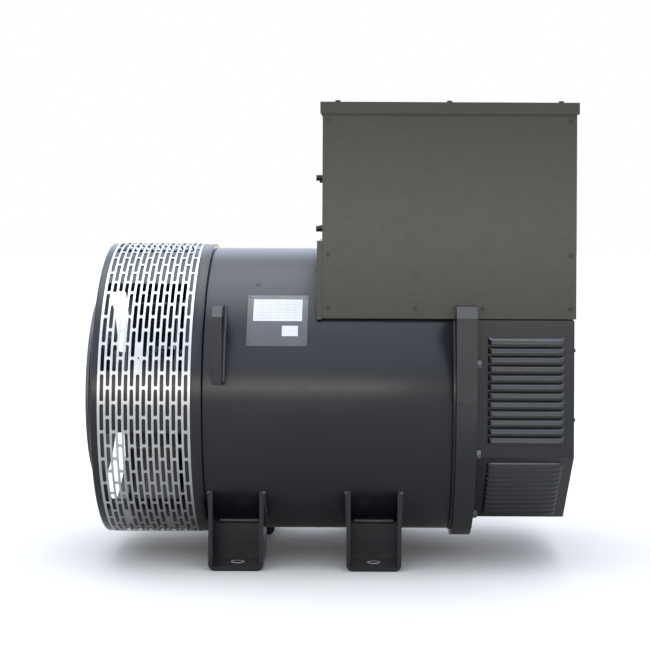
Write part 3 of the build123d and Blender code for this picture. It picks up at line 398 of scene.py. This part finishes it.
def plate(outlines, origin, along, up, out, thickness, soften):
    """Sheet with holes: filled outlines in (along, up), thickness inwards from the face, edges softened."""
    curve = bpy.data.curves.new("plate_outline", "CURVE")
    curve.dimensions = "2D"
    curve.fill_mode = "BOTH"
    curve.extrude = thickness / 2 - soften
    curve.bevel_depth = soften
    curve.bevel_resolution = 2
    curve.offset = -soften
    for outline in outlines:
        spline = curve.splines.new("POLY")
        spline.points.add(len(outline) - 1)
        spline.points.foreach_set("co", np.array([(a, b, 0, 1) for a, b in outline]).ravel())
        spline.use_cyclic_u = True
    holder = bpy.data.objects.new("plate_outline", curve)
    mesh = bpy.data.meshes.new_from_object(holder)
    flat = np.empty(len(mesh.vertices) * 3)
    mesh.vertices.foreach_get("co", flat)
    flat = flat.reshape(-1, 3)
    origin, along, up, out = (np.array(v, dtype=float) for v in (origin, along, up, out))
    points = origin + flat[:, :1] * along + flat[:, 1:2] * up + (flat[:, 2:] - thickness / 2) * out
    faces = [tuple(polygon.vertices) for polygon in mesh.polygons]
    bpy.data.objects.remove(holder)
    bpy.data.curves.remove(curve)
    bpy.data.meshes.remove(mesh)
    return points, faces


def hood(origin, along, up, out):
    """Louvre skin: out = R sin(0.6 pi v)^0.7 e(u), e(u) = sqrt(1 - (1 - u / r)^2) near each end."""
    length, count_u, count_v = LOUVRE_X[1] - LOUVRE_X[0], 44, 9
    t = np.linspace(0, 1, count_u)
    u = length * (0.5 - 0.5 * np.cos(pi * t))
    near = np.clip(np.minimum(u, length - u) / LOUVRE_HEIGHT, 0, 1)
    ends = np.sqrt(1 - (1 - near)**2)
    v = np.linspace(0, 1, count_v)
    rise = LOUVRE_OUT * np.sin(0.6 * pi * v)**0.7
    vectors = [np.array(w, dtype=float) for w in (origin, along, up, out)]
    points = []
    for inset in (0.0, 1.3):
        lift = np.outer(ends, rise) - inset
        drop = np.broadcast_to(LOUVRE_HEIGHT * v, lift.shape)
        points.append((vectors[0] + u[:, None, None] * vectors[1] - drop[..., None] * vectors[2]
                       + lift[..., None] * vectors[3]).reshape(-1, 3))
    layer = count_u * count_v
    faces = []
    for base, flip in ((0, 1), (layer, -1)):
        faces += [tuple([base + i * count_v + j, base + i * count_v + j + 1, base + (i + 1) * count_v + j + 1,
                         base + (i + 1) * count_v + j][::flip])
                  for i in range(count_u - 1) for j in range(count_v - 1)]
    lip = [i * count_v + count_v - 1 for i in range(count_u)]
    faces += [(lip[i], lip[i] + layer, lip[i + 1] + layer, lip[i + 1]) for i in range(count_u - 1)]
    return np.concatenate(points), faces


hood_paint = coat("hood_paint", (0.0085, 0.0090, 0.0110), 0.24, 0.0, 0.15, 5.0, 620.0, 0.05,
                  dust=0.02, gloss=0.42)
sheets, hoods = [], []
slant = np.array([FLOOR_HALF - COVER_HALF, FLOOR - CREASE])
slant_length = float(np.hypot(*slant))
slant /= slant_length
for side in (-1, 1):
    panels = (
        ((0, side * COVER_HALF, COVER_TOP), (0, 0, 1), (0, side, 0),
         COVER_TOP - CREASE, SIDE_MARGIN, SIDE_COUNT),
        ((0, side * COVER_HALF, CREASE), (0, -side * slant[0], -slant[1]), (0, -side * slant[1], slant[0]),
         slant_length, SLANT_MARGIN, SLANT_COUNT),
    )
    for origin, up, out, depth, margin, count in panels:
        openings = [stadium(LOUVRE_X[0] + 3, LOUVRE_X[1] - 3, -margin - k * LOUVRE_PITCH - LOUVRE_HEIGHT,
                            -margin - k * LOUVRE_PITCH - 3, 4.0) for k in range(count)]
        border = [(COVER_X[0], -depth), (COVER_X[1], -depth), (COVER_X[1], 0), (COVER_X[0], 0)]
        sheets.append(plate([border] + openings, origin, (1, 0, 0), up, out, SHEET, SHEET_ROUND))
        for k in range(count):
            top = np.array(origin, dtype=float) - (margin + k * LOUVRE_PITCH) * np.array(up, dtype=float)
            hoods.append(hood(top + (LOUVRE_X[0], 0, 0), (1, 0, 0), up, out))
sheets.append(plate([[(COVER_X[0], -FLOOR_HALF), (COVER_X[1], -FLOOR_HALF), (COVER_X[1], FLOOR_HALF),
                      (COVER_X[0], FLOOR_HALF)]], (0, 0, FLOOR), (1, 0, 0), (0, 1, 0), (0, 0, -1),
                    SHEET, SHEET_ROUND))
make_mesh("cover_sheet", *merged(sheets), FRAME, "black_paint", black_paint, replaces=["rear_cover"])
make_mesh("louvre_hoods", *merged(hoods), FRAME, "black_paint", hood_paint, sharp=60.0)
finish_node("rear_cover_panel", black_paint, 0.8)
finish_node("rear_panel_bolts", cast_black, 0.5)

# ---------------------------------------------------------------- terminal box
# Folded and screwed sheet steel in a slightly warmer, browner black, on a saddle plate that fits the
# housing. A shallow folded lid is bolted down, and the side panels carry pan-head screws.
box_paint = coat("box_paint", (0.0140, 0.0138, 0.0114), 0.27, 0.0, 0.06, 2.2, 520.0, 0.08,
                 scuff=0.02, scuff_colour=(0.03, 0.03, 0.028), dust=0.02, gloss=0.29)
finish_node("terminal_box_body", box_paint, 0.6)
finish_node("terminal_box_saddle", box_paint, 1.4)
finish_node("gland_plate", box_paint, 1.0)
for node in ("gland_plate_bolts", "side_panel_screws_near", "side_panel_screws_far", "lid_bolts"):
    finish_node(node, cast_black, 0.6)
BOX_X, BOX_Z, PANEL_TOP = (655.0, 1387.0), 235.0, 820.0
for side_name, side in (("near", -1), ("far", 1)):
    panel = plate([stadium(*BOX_X, BOX_Z, PANEL_TOP, 2.5, 3)], (0, side * COVER_HALF, 0), (1, 0, 0),
                  (0, 0, 1), (0, side, 0), SHEET, 1.0)
    make_mesh(f"box_side_{side_name}", *panel, FRAME, "box_paint", box_paint,
              replaces=[f"side_panel_{side_name}"])
finish_node("terminal_box_lid", box_paint, 2.4)
rubber = coat("moulded_plug", (0.02, 0.02, 0.02), 0.6, 0.0, 0.2, peel_scale=400.0, peel=0.2)
finish_node("box_plug", rubber, 2.0)

# ---------------------------------------------------------------- inside the terminal box
# A zinc-plated tray carries the insulating board with its brass studs and the potted regulator.
finish_node("equipment_tray", zinc_sheet, 0.5)
finish_node("terminal_board", coat("board_red", (0.28, 0.05, 0.03), 0.5, 0.0, 0.15), 1.5)
finish_node("terminal_studs", coat("stud_brass", (0.72, 0.50, 0.20), 0.3, 1.0, 0.1), 0.8)
finish_node("voltage_regulator", coat("potting", (0.03, 0.03, 0.035), 0.35, 0.0, 0.2), 2.0)

# ---------------------------------------------------------------- nameplate
# A thin printed aluminium plate bent to the housing and held by four drive pins: a dark ground with a
# pale blank data field above and a small pale field below. Nothing is written on it.
plate_dark = coat("plate_dark", (0.045, 0.046, 0.050), 0.30, 0.2, 0.12, 20.0, 900.0, 0.04)
plate_white = coat("plate_white", (0.36, 0.36, 0.36), 0.40, 0.0, 0.05, 20.0, 900.0, 0.03)
plate_rule = coat("plate_rule", (0.22, 0.22, 0.22), 0.45, 0.0, 0.1)
PLATE_FACE = 431.35
finish_node("nameplate", plate_dark, 0.3)


def field(low_x, high_x, low_angle, high_angle, height=0.12):
    """A printed field bent to the plate, between two heights above the shaft in degrees."""
    return turned([(low_x, PLATE_FACE), (low_x, PLATE_FACE + height), (high_x, PLATE_FACE + height),
                   (high_x, PLATE_FACE)], 180 - high_angle, high_angle - low_angle, 24)


make_mesh("data_fields", *merged([field(457, 598, 31.7, 41.6), field(541, 587, 25.4, 29.7)]),
          FRAME, "plate_print", plate_white)
rules = [field(461, 594, 31.7 + 9.9 * k / 8, 31.8 + 9.9 * k / 8, 0.2) for k in range(1, 8)]
rules += [field(x, x + 0.8, 32.4, 41.0, 0.2) for x in (482, 505, 528, 552, 575)]
make_mesh("data_rules", *merged(rules), FRAME, "plate_print", plate_rule)
pins = [button(x, radians(180 - a), 3.0, PLATE_FACE + 0.2) for x in (446, 608) for a in (22.4, 42.5)]
make_mesh("plate_pins", *merged(pins), FRAME, "bare_steel", bright_steel)

# ---------------------------------------------------------------- floor, light and camera
# A floor that the bright studio lights to white: cool light from above, a warm band at the horizon on
# every side and a dim ground, with a broad soft light over the top and a low strip on the near side.
# The background itself is plain white, and the graded sky only lights the part and shows in its gloss.
pale_floor = coat("pale_floor", (0.45, 0.435, 0.405), 0.9, 0.0, 0.01, 1.0, 100.0, 0.0, gloss=0.1)
FLOOR_Z, FLOOR_REACH = -0.5005, 40.0
mesh = bpy.data.meshes.new("studio_floor")
corners = ((-1, -1), (1, -1), (1, 1), (-1, 1))
mesh.from_pydata([(sx * FLOOR_REACH, sy * FLOOR_REACH, FLOOR_Z) for sx, sy in corners], [], [(0, 1, 2, 3)])
mesh.materials.append(pale_floor)
studio_floor = bpy.data.objects.new("studio_floor", mesh)
bpy.context.scene.collection.objects.link(studio_floor)

world = bpy.data.worlds.new("studio")
world.use_nodes = True
tree = world.node_tree
coordinate = tree.nodes.new("ShaderNodeTexCoord")
split = tree.nodes.new("ShaderNodeSeparateXYZ")
tree.links.new(coordinate.outputs["Generated"], split.inputs["Vector"])
height = tree.nodes.new("ShaderNodeMapRange")
height.inputs["From Min"].default_value = -1.0
tree.links.new(split.outputs["Z"], height.inputs["Value"])
ramp = tree.nodes.new("ShaderNodeValToRGB")
stops = ((0.0, (0.04, 0.04, 0.05)), (0.44, (0.05, 0.05, 0.055)), (0.490, (0.90, 0.87, 0.78)),
         (0.535, (3.1, 2.95, 2.55)), (0.60, (1.35, 1.40, 1.6)), (0.75, (2.1, 2.35, 2.85)),
         (0.92, (2.1, 2.3, 2.7)), (1.0, (5.4, 5.8, 6.3)))
while len(ramp.color_ramp.elements) < len(stops):
    ramp.color_ramp.elements.new(0.5)
for element, (position, colour) in zip(ramp.color_ramp.elements, stops):
    element.position = position
    element.color = (*colour, 1.0)
tree.links.new(height.outputs["Result"], ramp.inputs["Fac"])
seen = tree.nodes.new("ShaderNodeLightPath")
choose = tree.nodes.new("ShaderNodeMix")
choose.data_type = "RGBA"
choose.inputs[7].default_value = (1.0, 1.0, 1.0, 1.0)
tree.links.new(seen.outputs["Is Camera Ray"], choose.inputs["Factor"])
tree.links.new(ramp.outputs["Color"], choose.inputs[6])
tree.links.new(choose.outputs[2], tree.nodes["Background"].inputs["Color"])
bpy.context.scene.world = world
bpy.context.scene.view_settings.view_transform = "Standard"
lights = (
    ("top_softbox", (0.6, 0.2, 3.6), (0.6, 0.2, 0.0), 4.4, 3.2, 30.0, (0.90, 0.95, 1.0)),
    ("side_strip", (0.4, -4.4, 0.45), (0.6, 0.0, 0.0), 4.6, 0.30, 46.0, (1.0, 0.93, 0.84)),
    ("left_softbox", (-3.6, -2.6, 1.4), (0.3, 0.0, 0.0), 2.2, 2.2, 8.0, (1.0, 1.0, 1.0)),
)
for name, place, target, width, depth, power, colour in lights:
    lamp = bpy.data.lights.new(name, "AREA")
    lamp.shape = "RECTANGLE"
    lamp.size, lamp.size_y, lamp.energy, lamp.color = width, depth, power, colour
    holder = bpy.data.objects.new(name, lamp)
    holder.location = place
    holder.rotation_euler = (Vector(target) - Vector(place)).to_track_quat("-Z", "Y").to_euler()
    bpy.context.scene.collection.objects.link(holder)

camera = bpy.data.cameras.new("camera")
camera.lens = 88.84
camera.sensor_width = 36.0
camera.clip_end = 100.0
camera.shift_x = -0.0723
camera.shift_y = -0.1692
viewer = bpy.data.objects.new("camera", camera)
viewer.location = (0.798, -4.983, 0.533)
viewer.rotation_euler = Euler((radians(90), 0, 0))
viewer.rotation_euler.rotate_axis("Z", radians(0.27))
bpy.context.scene.collection.objects.link(viewer)
bpy.context.scene.camera = viewer
